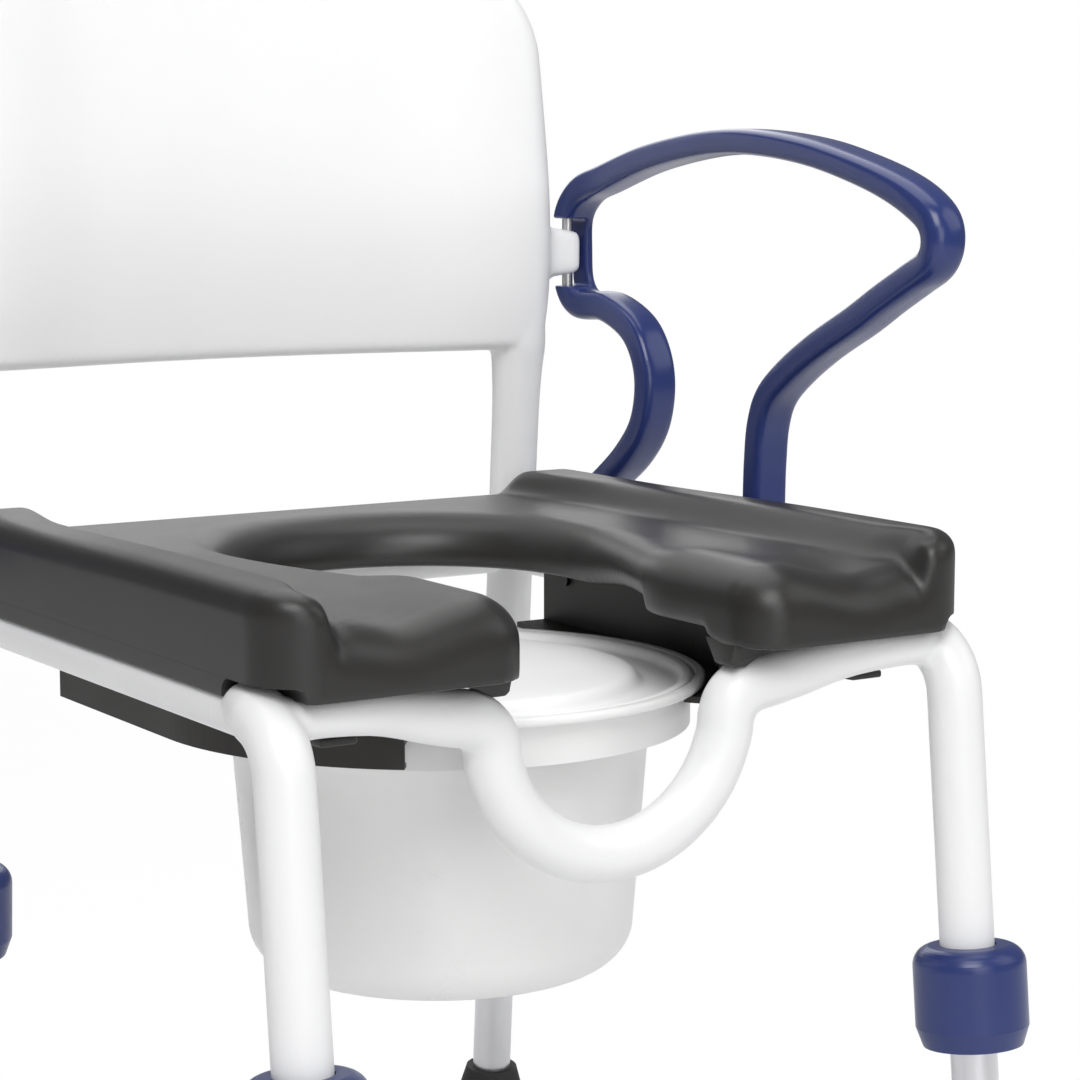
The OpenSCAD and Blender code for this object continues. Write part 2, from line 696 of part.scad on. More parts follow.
module seat_pad() {
    lip = 6;
    edge_h = 12;
    above = 2 * pad_t;
    roll_x = seat_w / 2 - bolster_r - 1;
    roll_ends = [-seat_front + bolster_r + 1, seat_rear - bolster_r - 1];
    color("dimgray") difference() {
        union() {
            translate([0, 0, skirt_z]) linear_extrude(height = pad_t + skirt_h) seat_outline();
            for (side = [-1, 1]) intersection() {
                translate([side * roll_x, 0, pad_top]) {
                    translate([0, roll_ends[0], 0]) rotate([-90, 0, 0])
                        cylinder(h = roll_ends[1] - roll_ends[0], r = bolster_r);
                    for (y = roll_ends) translate([0, y, 0]) sphere(r = bolster_r);
                }
                translate([-seat_w, -seat_w, pad_z + 1]) cube([2 * seat_w, 2 * seat_w, above]);
            }
        }
        // Opening, its sloping edge and the gap between the lobes
        translate([0, opening_y, skirt_z - 1]) cylinder(h = above, r = opening_r);
        translate([0, opening_y, pad_z + edge_h])
            cylinder(h = pad_t - edge_h + 0.1, r1 = opening_r, r2 = opening_r + slope_w);
        translate([-gap_w / 2, -seat_front - 1, skirt_z - 1]) cube([gap_w, seat_front, above]);
        // Hollow underside inside the skirt
        translate([0, 0, skirt_z - 1]) linear_extrude(height = skirt_h + 1) intersection() {
            translate([-seat_w / 2 + lip, -seat_front + lip])
                square([seat_w - 2 * lip, seat_front + seat_rear - 2 * lip]);
            seat_outline();
        }
        // Grooves over the rails and recesses over the leg bends
        for (side = [-1, 1]) {
            translate([side * rail_x, rail_front - bend_r / 2, rail_z]) rotate([-90, 0, 0])
                cylinder(h = seat_front + seat_rear, r = rail_r + seat_gap);
            translate([side * leg_x, -seat_front - 1, rail_z]) rotate([-90, 0, 0])
                cylinder(h = rail_front + seat_front + leg_gap, r = tube_r + leg_gap);
        }
    }
}

// Bosses under the ends of the lobes that seat on the shoulders of the bridge
module seat_clips() {
    color("black") for (side = [-1, 1]) on_side(side)
        translate([0, -dip_y + boss_len / 2, 0]) rotate([90, 0, 0]) linear_extrude(height = boss_len)
            polygon([[gap_w / 2 - clip_w / 2, pad_z], [gap_w / 2 - 0.4 * clip_w, pad_z - clip_h],
                [gap_w / 2 - 0.28 * clip_w, pad_z - clip_h], [gap_w / 2 + 0.16 * clip_w, pad_z - 0.32 * clip_h],
                [gap_w / 2 + 0.56 * clip_w, pad_z]]);
}

// ---- Armrests ----

// Points of the armrest's line seen from the side: Y, height above the rim, half width, half thickness
function arm_line() = let (w = bar_w / 2, t = bar_t / 2, p = top_w / 2) [
    [pivot_y, hub_low, hub_r, hub_r], [pivot_y, hub_low + 10, hub_r, hub_r],
    [pivot_y - 2, hub_low + 20, hub_r, hub_r - 1], [pivot_y - 16, hub_low + 33, w, t + 1],
    [200, 90, w - 1, t], [168, 108, w, t], [147, 132, w, t],
    [140, 158, w, t], [145, 181, w, t], [162, 202, w, t], [196, 215, w, t], [230, 215, w, t],
    [247, 230, w, t], [249, 256, w, t], [247, 282, w, t], [229, 300, w, t], [199, 309, w, t],
    [146, 323, w + 1, t - 1], [88, 332, w + 2, t - 1], [41, 335, p - 1, t - 1], [-4, 333, p, t - 1],
    [-50, 327, p, t - 1], [-90, 318, p, t - 1], [-124, 308, p - 1, t - 1], [-150, 297, p - 2, t],
    [-167, 285, w + 1, t], [-173, 271, w, t], [-165, 258, w, t], [-147, 248, w, t],
    [-93, 219, w, t], [-55, 200, w, t], [-24, 181, w, t], [-3, 163, w, t], [6, 143, w, t],
    [9, 118, w, t], [10, 90, w, t], [10, 60, w, t], [8, 24, w - 1, t]
];

module armrest(side) {
    // The hub stands on the pivot axis, and the bar runs bar_out beside it
    line = [for (s = arm_line())
        [bar_x - (s[1] < hub_low + 30 && s[0] > 0.8 * pivot_y ? bar_out : 0), s[0], rim_h + s[1], s[2], s[3]]];
    inner_face = bar_x - bar_w / 2;
    color("midnightblue") on_arm(side) difference() {
        sweep(line, [1, 0, 0], 3, 16, 0.6);
        // Notch for the lug, open to the inside, the front and the rear
        translate([inner_face - 10, pivot_y - 20, lug_z - notch_h / 2])
            cube([pivot_x + lug_t / 2 + 2 - inner_face + 10, 40, notch_h]);
        // Bores of the two pivots
        translate([pivot_x, pivot_y, lug_z - notch_h / 2 - 16])
            cylinder(h = notch_h + 32, r = upper_pin_d / 2 + pin_gap);
        translate([pivot_x, pivot_y, rim_h + hub_low - 1])
            cylinder(h = pin_reach + 3, r = lower_pin_d / 2 + pin_gap);
    }
}

// Rubber buffer that meets the side rail when the armrest is closed
module arm_buffer(side) {
    inner_face = bar_x - bar_w / 2;
    reach = inner_face + 1 - (rail_x + rail_r + seat_gap);
    color("black") on_arm(side) translate([rail_x + rail_r + seat_gap, 2, rail_z]) rotate([0, 90, 0])
        cylinder(h = reach, r = 7);
}

module upper_pin(side) {
    color("silver") on_side(side) translate([pivot_x, pivot_y, lug_z - notch_h / 2 - 12])
        cylinder(h = notch_h + 24, r = upper_pin_d / 2);
}

module lower_pin(side) {
    color("silver") on_side(side) translate([pivot_x, pivot_y, rail_z + rail_r])
        cylinder(h = bracket_t + seat_gap + pin_reach, r = lower_pin_d / 2);
}

front_bridge();
front_leg(1);  // front_leg_left
front_leg(-1);  // front_leg_right
leg_elbow(1);  // leg_elbow_left
leg_elbow(-1);  // leg_elbow_right
side_rail(1);  // side_rail_left
side_rail(-1);  // side_rail_right
rear_leg(1);  // rear_leg_left
rear_leg(-1);  // rear_leg_right
rear_crossbar();
lug(1);  // lug_left
lug(-1);  // lug_right
arm_bracket(1);  // arm_bracket_left
arm_bracket(-1);  // arm_bracket_right
back_panel();
back_side(1);  // back_side_left
back_side(-1);  // back_side_right
on_front_leg(1) collar();  // collar_front_left
on_front_leg(-1) mirror([1, 0, 0]) collar();  // collar_front_right
on_rear_leg(1) collar();  // collar_rear_left
on_rear_leg(-1) mirror([1, 0, 0]) collar();  // collar_rear_right
on_front_leg(1) button();  // button_front_left
on_front_leg(-1) mirror([1, 0, 0]) button();  // button_front_right
on_rear_leg(1) button();  // button_rear_left
on_rear_leg(-1) mirror([1, 0, 0]) button();  // button_rear_right
on_front_leg(1) inner_leg(front_drop);  // inner_leg_front_left
on_front_leg(-1) mirror([1, 0, 0]) inner_leg(front_drop);  // inner_leg_front_right
on_rear_leg(1) inner_leg(rear_drop);  // inner_leg_rear_left
on_rear_leg(-1) mirror([1, 0, 0]) inner_leg(rear_drop);  // inner_leg_rear_right
on_front_leg(1) foot(front_drop, front_lean);  // foot_front_left
on_front_leg(-1) foot(front_drop, front_lean);  // foot_front_right
on_rear_leg(1) foot(rear_drop, -rear_lean);  // foot_rear_left
on_rear_leg(-1) foot(rear_drop, -rear_lean);  // foot_rear_right
seat_pad();
seat_clips();
pan_holder(1);  // pan_holder_left
pan_holder(-1);  // pan_holder_right
holder_screws();
pan();
pan_lid();
armrest(1);  // armrest_left
armrest(-1);  // armrest_right
arm_buffer(1);  // arm_buffer_left
arm_buffer(-1);  // arm_buffer_right
upper_pin(1);  // upper_pin_left
upper_pin(-1);  // upper_pin_right
lower_pin(1);  // lower_pin_left
lower_pin(-1);  // lower_pin_right
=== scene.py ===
import bpy
from math import cos, exp, hypot, log, pi, radians, sin, sqrt, tan
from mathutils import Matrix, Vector


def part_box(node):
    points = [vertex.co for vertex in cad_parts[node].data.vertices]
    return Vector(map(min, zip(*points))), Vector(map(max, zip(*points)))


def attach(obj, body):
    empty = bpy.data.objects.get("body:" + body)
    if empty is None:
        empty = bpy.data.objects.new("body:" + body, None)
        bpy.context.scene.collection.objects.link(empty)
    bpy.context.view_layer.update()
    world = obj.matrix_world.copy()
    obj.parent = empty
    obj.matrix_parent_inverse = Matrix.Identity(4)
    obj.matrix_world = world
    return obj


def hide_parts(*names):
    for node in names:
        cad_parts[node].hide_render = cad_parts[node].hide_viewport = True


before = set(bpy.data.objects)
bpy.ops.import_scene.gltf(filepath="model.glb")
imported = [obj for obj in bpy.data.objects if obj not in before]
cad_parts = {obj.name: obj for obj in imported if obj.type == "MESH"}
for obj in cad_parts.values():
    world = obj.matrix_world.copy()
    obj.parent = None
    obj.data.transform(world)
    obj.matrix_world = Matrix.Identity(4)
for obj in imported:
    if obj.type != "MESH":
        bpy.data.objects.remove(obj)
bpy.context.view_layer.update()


# ---- White tube frame -------------------------------------------------------
# The frame is bent tube under a white powder coat: two side rails, elbows down
# to the front legs, rear legs that run on up as the posts of the back, a
# crossbar at the rear, and a formed bridge with a dip between the front legs.

class Shade:
    """A socket of a material's nodes; sums, differences and products with it add Math nodes."""

    def __init__(self, tree, socket):
        self.tree = tree
        self.socket = socket

    def node(self, kind, settings=None, out=0, **values):
        """Adds a node, with its settings set first, then values or links into its sockets."""
        made = self.tree.nodes.new("ShaderNode" + kind)
        for name, setting in (settings or {}).items():
            setattr(made, name, setting)
        for name, value in values.items():
            key = int(name[1:]) if name[0] == "i" and name[1:].isdigit() else name.replace("_", " ")
            if isinstance(value, Shade):
                self.tree.links.new(value.socket, made.inputs[key])
            else:
                made.inputs[key].default_value = value
        return Shade(self.tree, made.outputs[out])

    def math(self, operation, first, second=0.0):
        return self.node("Math", {"operation": operation}, i0=first, i1=second)

    def __add__(self, other):
        return self.math("ADD", self, other)

    def __radd__(self, other):
        return self.math("ADD", other, self)

    def __sub__(self, other):
        return self.math("SUBTRACT", self, other)

    def __mul__(self, other):
        return self.math("MULTIPLY", self, other)

    def __rmul__(self, other):
        return self.math("MULTIPLY", other, self)

    def blend(self, low, high):
        """Colour between low and high, as this value goes from 0 to 1."""
        mixed = self.tree.nodes.new("ShaderNodeMix")
        mixed.data_type = "RGBA"
        self.tree.links.new(self.socket, mixed.inputs["Factor"])
        for key, colour in (("A", low), ("B", high)):
            socket = [s for s in mixed.inputs if s.name == key and s.type == "RGBA"][0]
            if isinstance(colour, Shade):
                self.tree.links.new(colour.socket, socket)
            else:
                socket.default_value = (*colour, 1.0)
        return Shade(self.tree, [s for s in mixed.outputs if s.type == "RGBA"][0])


def new_finish(name):
    """A material, its surface shader, and object coordinates to build a pattern on."""
    finish = bpy.data.materials.new(name)
    finish.use_nodes = True
    tree = finish.node_tree
    surface = tree.nodes["Principled BSDF"]
    place = tree.nodes.new("ShaderNodeTexCoord")
    return finish, surface, Shade(tree, place.outputs["Object"])


def feed(surface, **links):
    """Links shades, or sets plain values, on the surface shader's sockets."""
    for name, value in links.items():
        socket = surface.inputs[name.replace("_", " ")]
        if isinstance(value, Shade):
            value.tree.links.new(value.socket, socket)
        else:
            socket.default_value = value


def moulded_finish(name, colour, roughness, grain=900.0, depth=0.00004, spread=0.05, metal=0.0):
    """Moulded, coated or bare metal surface: a fine grain, faint clouding and uneven gloss."""
    finish, surface, place = new_finish(name)
    cloud = place.node("TexNoise", Vector=place, Scale=14.0, Detail=3.0, Roughness=0.6)
    fine = place.node("TexNoise", Vector=place, Scale=grain, Detail=2.0, Roughness=0.5)
    dull = tuple(c * (1 - spread) for c in colour)
    bright = tuple(min(1.0, c * (1 + spread)) for c in colour)
    feed(surface,
         Base_Color=cloud.blend(dull, bright),
         Metallic=metal,
         Roughness=roughness + 0.12 * (cloud - 0.5) + 0.06 * (fine - 0.5),
         Normal=place.node("Bump", Strength=1.0, Distance=depth, Height=fine))
    return finish


def wear(piece, finish):
    """Gives a piece or a CAD node one finish all over."""
    piece.data.materials.clear()
    piece.data.materials.append(finish)


def only(piece):
    """Makes piece the only selected and active object."""
    bpy.ops.object.select_all(action="DESELECT")
    piece.select_set(True)
    bpy.context.view_layer.objects.active = piece


def apply(piece, kind, **settings):
    """Adds a modifier to piece and applies it."""
    only(piece)
    modifier = piece.modifiers.new(kind.lower(), kind)
    for name, value in settings.items():
        setattr(modifier, name, value)
    bpy.ops.object.modifier_apply(modifier=modifier.name)


def formed(name, round_by, along_by, place, closed=True):
    """A sheet of quads formed to place(u, v), u and v from 0 to 1. A closed one is a
    tube: its long edges are joined and its ends filled."""
    bpy.ops.object.select_all(action="DESELECT")
    bpy.ops.mesh.primitive_grid_add(x_subdivisions=round_by, y_subdivisions=along_by, size=1)
    piece = bpy.context.object
    piece.name = name
    for vertex in piece.data.vertices:
        vertex.co = place(vertex.co.x + 0.5, vertex.co.y + 0.5)
    bpy.ops.object.mode_set(mode="EDIT")
    bpy.ops.mesh.select_all(action="SELECT")
    bpy.ops.mesh.remove_doubles(threshold=1e-6)
    if closed:
        bpy.ops.mesh.select_all(action="DESELECT")
        bpy.ops.mesh.select_mode(type="EDGE")
        bpy.ops.mesh.select_non_manifold()
        bpy.ops.mesh.edge_face_add()
        bpy.ops.mesh.select_mode(type="VERT")
        bpy.ops.mesh.select_all(action="SELECT")
        bpy.ops.mesh.normals_make_consistent(inside=False)
    bpy.ops.object.mode_set(mode="OBJECT")
    return piece


def smooth_line(stations, v, mirrored=False):
    """The station at v from 0 to 1 on a smooth line through all the stations. A mirrored
    line is one half of a line that is symmetrical in x about its first station."""
    last = len(stations) - 1
    i = min(int(v * last), last - 1)
    t = v * last - i
    a, b, c, d = (Vector(stations[min(max(i + k, 0), last)]) for k in (-1, 0, 1, 2))
    if mirrored and i == 0:
        a = Vector((-stations[1][0], *stations[1][1:]))
    return 0.5 * (2 * b + (c - a) * t + (2 * a - 5 * b + 4 * c - d) * t * t
                  + (3 * b - a - 3 * c + d) * t * t * t)


def bar(name, stations, side, round_by, along_by):
    """A bar along a line. A station is its place, half width along side, half thickness
    across it, and the squareness of its section: 1 is an ellipse, 0.3 nearly a box."""
    def place(u, v):
        here = smooth_line(stations, v)
        ahead = smooth_line(stations, min(v + 0.002, 1)) - smooth_line(stations, max(v - 0.002, 0))
        heading = Vector(ahead[:3]).normalized()
        across = (side - heading * side.dot(heading)).normalized()
        c, s = cos(2 * pi * u), sin(2 * pi * u)
        k = max(here[5], 0.2)
        return Vector(here[:3]) + across * here[3] * abs(c) ** k * (1 if c > 0 else -1) \
            + heading.cross(across) * here[4] * abs(s) ** k * (1 if s > 0 else -1)
    return formed(name, round_by, along_by, place)


def fused(name, pieces, voxel, rounds):
    """Joins pieces into one skin and softens the seams where they meet."""
    only(pieces[0])
    for piece in pieces:
        piece.select_set(True)
    if len(pieces) > 1:
        bpy.ops.object.join()
    piece = bpy.context.object
    piece.name = name
    apply(piece, "REMESH", mode="VOXEL", voxel_size=voxel, adaptivity=0.0)
    apply(piece, "SMOOTH", factor=0.5, iterations=rounds)
    only(piece)
    bpy.ops.object.shade_smooth()
    return piece


def cut_box(piece, middle, size, bevel=0.0):
    """Cuts a box out of piece; a bevel above 0 rounds the box."""
    bpy.ops.object.select_all(action="DESELECT")
    bpy.ops.mesh.primitive_cube_add(size=1, location=middle)
    cutter = bpy.context.object
    cutter.scale = size
    bpy.ops.object.transform_apply(location=False, rotation=False, scale=True)
    if bevel:
        apply(cutter, "BEVEL", width=bevel, segments=6)
    apply(piece, "BOOLEAN", operation="DIFFERENCE", object=cutter, solver="EXACT")
    bpy.data.objects.remove(cutter)


RIM = 0.415                       # height of the pan's rim above the floor
TUBE = 0.017                      # radius of the leg tubes
rail_low, rail_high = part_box("side_rail_left")
RAIL_Z = (rail_low.z + rail_high.z) / 2
elbow_low, elbow_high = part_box("leg_elbow_left")
LEG_X = (elbow_low.x + elbow_high.x) / 2
LEG_Y = elbow_low.y + TUBE
BEND = 0.034                      # radius of the elbows, along the tube's axis
ELBOW_Y = LEG_Y + 0.0385          # where the elbows have turned level
ELBOW_Z = RIM + 0.0285            # height of their level ends
ELBOW_STEPS = 8
LEAN = radians(6)                 # of the front legs
RAIL_X, RAIL_R = 0.229, 0.0141    # axes and radius of the side rails' front ends
SIDEWAYS = Vector((1, 0, 0))
leg_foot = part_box("front_leg_left")[0].z

coat_white = moulded_finish("white_powder_coat", (0.83, 0.83, 0.835), 0.34,
                            grain=520, depth=0.00005, spread=0.015)

# Front legs with their elbows, whose open ends take the thinner side rails
legs = []
for side in (1, -1):
    bend = Vector((side * LEG_X, ELBOW_Y, ELBOW_Z - BEND))
    top = bend + BEND * Vector((0, -cos(LEAN), sin(LEAN)))
    length = (top.z - leg_foot) / cos(LEAN)
    line = []
    for share in (1, 0.97, 0.7, 0.4, 0.15):
        down = top + share * length * Vector((0, -sin(LEAN), -cos(LEAN)))
        line.append((*down, TUBE, TUBE, 1))
    for step in range(ELBOW_STEPS):
        a = (pi / 2 - LEAN) * step / ELBOW_STEPS
        line.append((bend.x, bend.y - BEND * cos(LEAN + a), bend.z + BEND * sin(LEAN + a), TUBE, TUBE, 1))
    for back, rise, radius in ((0, 0.0008, 0.0163), (0.006, 0.0016, 0.0156), (0.011, 0.0024, 0.0149),
                               (0.015, 0.0031, 0.0141), (0.017, 0.0037, 0.0132)):
        line.append((bend.x - side * rise, bend.y + back, bend.z + BEND + rise, radius, radius, 1))
    legs.append(bar("leg", line, SIDEWAYS, 40, 120))
    rail_end = [(side * RAIL_X, y, RAIL_Z, RAIL_R, RAIL_R, 1) for y in (-0.206, -0.19, -0.160)]
    legs.append(bar("rail_end", rail_end, SIDEWAYS, 40, 30))

# Bridge: a U-shaped dip of round tube, then flattened arms that flare into the legs
DIP_R, DIP_Y, DIP_Z = 0.084, -0.195, RIM + 0.005
half = [(DIP_R * sin(radians(a)), DIP_Y, DIP_Z - DIP_R * cos(radians(a)), TUBE, TUBE, 1)
        for a in range(0, 76, 15)]
half += [(x, y, RIM + z, depth, height, k) for x, y, z, depth, height, k in (
    (0.0825, DIP_Y, -0.006, TUBE, TUBE, 1), (0.087, DIP_Y, 0.004, TUBE, TUBE, 0.95),
    (0.097, -0.196, 0.011, TUBE, TUBE, 0.9), (0.112, -0.198, 0.014, 0.0165, 0.0165, 0.85),
    (0.131, -0.201, 0.018, 0.0155, 0.0155, 0.8), (0.150, -0.204, 0.022, 0.0145, 0.0140, 0.8),
    (0.168, -0.207, 0.025, 0.0145, 0.0130, 0.8), (0.190, -0.210, 0.0265, 0.0145, 0.0120, 0.8),
    (0.208, -0.211, 0.027, 0.0145, 0.0120, 0.85), (0.228, -0.212, 0.026, 0.0150, 0.0130, 1))]
whole = [(-x, *rest) for x, *rest in reversed(half[1:])] + half
bridge = bar("bridge", whole, Vector((0, 1, 0)), 40, 240)
front = fused("front_frame", [bridge, *legs], voxel=0.0016, rounds=12)
wear(front, coat_white)
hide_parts("front_bridge", "leg_elbow_left", "leg_elbow_right", "front_leg_left", "front_leg_right")
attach(front, "frame")

for part in ("side_rail_left", "side_rail_right", "rear_leg_left", "rear_leg_right", "rear_crossbar",
             "arm_bracket_left", "arm_bracket_right"):
    wear(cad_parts[part], coat_white)


# ---- Back -------------------------------------------------------------------
# One white moulding with a satin skin: a bowed panel, thicker at its sides,
# where it slips over the two posts, and an ear on each side that carries the
# upper pivot of an armrest. Its lower corners run out in sleeves on the posts.

POST_X = 0.219
PIVOT = Vector((0.262, 0.25, RIM + 0.254))
REAR_LEAN = radians(4)
BACK_LOW, BACK_HIGH = RIM + 0.183, RIM + 0.470
BACK_CORNER = 0.075               # radius of the upper corners
LOW_EDGE, HIGH_EDGE = 0.007, 0.010      # heights of the edges' rounding
PANEL_HALF = 0.010                # half thickness of the panel's middle
BOW = 0.026                       # how far the middle stands behind the posts
KINK, KINK_SOFT = RIM + 0.285, 0.02     # the back leans away above this height
BACK_LEAN = radians(9)


def ease(t):
    """Goes softly from 0 to 1 as t does, and stays there."""
    t = min(1.0, max(0.0, t))
    return t * t * (3 - 2 * t)


def post_line(z):
    """Y of the posts' axes at a height."""
    return 0.247 + (PIVOT.z - z) * tan(REAR_LEAN)


def back_surface(u, v):
    """The panel, u once around its section and v from its lower to its upper edge."""
    z = BACK_LOW + (BACK_HIGH - BACK_LOW) * (1 - cos(pi * v)) / 2
    up = max(0.0, z - (BACK_HIGH - BACK_CORNER))
    wall = 0.002 + 0.003 * ease((z - BACK_LOW) / 0.048)
    half = POST_X + TUBE + wall - BACK_CORNER + sqrt(BACK_CORNER ** 2 - min(up, BACK_CORNER) ** 2)
    low, high = min(1.0, (z - BACK_LOW) / LOW_EDGE), min(1.0, (BACK_HIGH - z) / HIGH_EDGE)
    edge = sqrt(1 - (1 - low) ** 2) * sqrt(1 - (1 - high) ** 2)
    x = half * cos(2 * pi * u)
    roll = TUBE + wall
    toward = ease(2 * abs(x) / POST_X - 1)
    e = min(1.0, (half - abs(x)) / roll)
    thick = PANEL_HALF * (1 - toward) + roll * toward
    thick = thick * sqrt(max(0.0, 1 - (1 - e) ** 2)) * (0.3 + 0.7 * edge)
    bow = BOW * (1 - min(1.0, abs(x) / POST_X) ** 2) ** 2
    above = KINK_SOFT * log(1 + exp((z - KINK) / KINK_SOFT))
    y = post_line(z) + above * (tan(BACK_LEAN) + tan(REAR_LEAN)) + bow
    return Vector((x, y + (-thick if u <= 0.5 else thick), z))


panel = formed("panel", 120, 90, back_surface)
extras = []
for side in (1, -1):
    sleeve = [(side * POST_X, post_line(z), z, r, r, 1) for z, r in (
        (RIM + 0.060, 0.0174), (RIM + 0.13, 0.0176), (RIM + 0.155, 0.0182), (RIM + 0.172, 0.0192),
        (RIM + 0.19, 0.0205), (RIM + 0.22, 0.018))]
    extras.append(bar("sleeve", sleeve, SIDEWAYS, 48, 40))
    ear = [(side * x, y, PIVOT.z + z, h, t, k) for x, y, z, h, t, k in (
        (0.200, 0.2475, -0.001, 0.030, 0.0185, 0.7), (0.216, 0.2475, -0.001, 0.027, 0.0165, 0.6),
        (0.228, 0.2480, 0, 0.0235, 0.0130, 0.5), (0.238, 0.2490, 0, 0.0205, 0.0100, 0.4),
        (0.246, 0.2498, 0, 0.0185, 0.0084, 0.35), (0.255, 0.25, 0, 0.0172, 0.008, 0.35),
        (0.263, 0.25, 0, 0.0163, 0.008, 0.35), (0.268, 0.25, 0, 0.0150, 0.0072, 0.35),
        (0.2702, 0.25, 0, 0.0125, 0.0052, 0.4))]
    extras.append(bar("ear", ear, Vector((0, 0, 1)), 40, 60))
back = fused("back_moulding", [panel, *extras], voxel=0.0023, rounds=9)
back_white = moulded_finish("white_moulding", (0.91, 0.91, 0.91), 0.42,
                            grain=1400, depth=0.00003, spread=0.012)
wear(back, back_white)
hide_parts("back_panel", "back_side_left", "back_side_right", "lug_left", "lug_right")
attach(back, "frame")


# ---- Collars, buttons, inner legs and feet ----------------------------------
# Blue moulded collars close the lower ends of the legs. A spring button in
# each one releases the aluminium inner leg, which ends in a rubber foot.

BLUE = (0.021, 0.036, 0.15)
collar_blue = moulded_finish("blue_moulding", BLUE, 0.3, grain=1500, depth=0.00002, spread=0.06)
rubber = moulded_finish("foot_rubber", (0.03, 0.03, 0.03), 0.75, grain=1100, depth=0.00006, spread=0.1)
button_grey = moulded_finish("button_plastic", (0.12, 0.12, 0.125), 0.45, grain=1300)
brushed = moulded_finish("brushed_aluminium", (0.72, 0.72, 0.74), 0.3, grain=1200, metal=1.0)
for corner in ("front_left", "front_right", "rear_left", "rear_right"):
    wear(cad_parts["collar_" + corner], collar_blue)
    wear(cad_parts["button_" + corner], button_grey)
    wear(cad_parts["inner_leg_" + corner], brushed)
    wear(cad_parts["foot_" + corner], rubber)


# ---- Pan holders ------------------------------------------------------------
# Black moulded rails, one each side, screwed to the side rails. Each carries
# the pan's rim on a ledge and wraps round the front of the pan. The steel of
# the armrests' hinge pins is here too.

holder_black = moulded_finish("black_moulding", (0.02, 0.0175, 0.016), 0.5, grain=1000, spread=0.1)
steel = moulded_finish("plated_steel", (0.6, 0.6, 0.6), 0.3, grain=1200, metal=1.0)
for part in ("pan_holder_left", "pan_holder_right", "holder_screws"):
    wear(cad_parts[part], holder_black)
for part in ("upper_pin_left", "upper_pin_right", "lower_pin_left", "lower_pin_right"):
    wear(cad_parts[part], steel)


# ---- Seat clips -------------------------------------------------------------
# Black moulded clips under the front of the seat: a lug beside the dip of the
# bridge on each side, and a small hook that reaches under the arm of the bridge.

clip_black = moulded_finish("clip_moulding", (0.02, 0.019, 0.018), 0.45, grain=1000, spread=0.1)
LUG_FRONT, LUG_REAR = -0.211, -0.181
HOOK_IN, HOOK_OUT = 0.173, 0.196
lug_outline = [(77, 40.8), (77, 27), (80, 24.5), (88, 24.5), (98, 29.5), (108, 33), (118, 37), (118, 40.8)]
hook_outline = [(-192.5, 40.8), (-192.5, 11.5), (-203, 11.5), (-203, 7), (-184, 6), (-182, 9), (-182, 40.8)]


def cut_block(name, corners, start, end, turned):
    """A block with an outline of corners, in millimetres, extruded from start to end.
    Its outline lies across the chair, or along it where it is turned."""
    bpy.ops.object.select_all(action="DESELECT")
    bpy.ops.mesh.primitive_circle_add(vertices=len(corners), radius=1, fill_type="NGON")
    block = bpy.context.object
    block.name = name
    for vertex, (across, up) in zip(block.data.vertices, corners):
        across, up = across / 1000, RIM + up / 1000
        vertex.co = (start, across, up) if turned else (across, start, up)
    bpy.ops.object.mode_set(mode="EDIT")
    bpy.ops.mesh.select_all(action="SELECT")
    far = (end - start, 0, 0) if turned else (0, end - start, 0)
    bpy.ops.mesh.extrude_region_move(TRANSFORM_OT_translate={"value": far})
    bpy.ops.mesh.select_all(action="SELECT")
    bpy.ops.mesh.normals_make_consistent(inside=False)
    bpy.ops.object.mode_set(mode="OBJECT")
    apply(block, "BEVEL", width=0.0014, segments=3, limit_method="ANGLE")
    bpy.ops.object.shade_smooth()
    wear(block, clip_black)
    return block


for side, hand in ((1, "left"), (-1, "right")):
    outline = [(side * x, z) for x, z in lug_outline]
    lug = cut_block("clip_" + hand, outline, LUG_FRONT, LUG_REAR, turned=False)
    # Its foot is narrower from front to rear than its head
    for vertex in lug.data.vertices:
        if vertex.co.z < RIM + 0.031:
            vertex.co.y = -0.198 + 0.6 * (vertex.co.y + 0.196)
    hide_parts("seat_clips")
    hook = cut_block("hook_" + hand, hook_outline, side * HOOK_IN, side * HOOK_OUT, turned=True)
    only(hook)
    bpy.ops.object.shade_smooth_by_angle(angle=radians(30))
    for piece in (lug, hook):
        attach(piece, "frame")


# ---- Pan and lid ------------------------------------------------------------
# A deep pan and its lid, both moulded in light grey-white plastic.

pan_white = moulded_finish("pan_plastic", (0.84, 0.84, 0.835), 0.3, grain=1500, depth=0.00002, spread=0.02)
lid_white = moulded_finish("lid_plastic", (0.86, 0.86, 0.86), 0.45, grain=1500, depth=0.00002, spread=0.02)
wear(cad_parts["pan"], pan_white)

# Half of the lid's section in millimetres from its middle and above the rim:
# low dome, flat ring and bead, then back along the underside
dome = [(0, -1.2), (40, -0.5), (80, 0.6), (100, 1.3), (110, 1.5), (118, 1.4), (122, 0.7), (124.6, -0.7),
        (126.5, -2.6), (128, -4.6), (130, -6.2)]
flat_ring = [(133, -6.9), (138, -7), (146, -7), (150, -7), (152, -6.5)]
bead = [(153.2, -5), (154, -2.6), (155.6, -0.8), (158, -0.1), (159.6, -0.1), (160.6, -0.6), (161, -1.6),
        (161, -3), (160, -3.8), (158, -3.8)]
underside = [(156, -3.9), (155, -5), (154.6, -7), (153.4, -8.8), (150, -9.2), (146, -9.2), (138, -9.2),
             (131, -8.8), (127, -7.2), (124, -4), (118, -1.6), (110, -1.3), (100, -1.4), (80, -2), (40, -3),
             (0, -3.6)]
lid_profile = dome + flat_ring + bead + underside


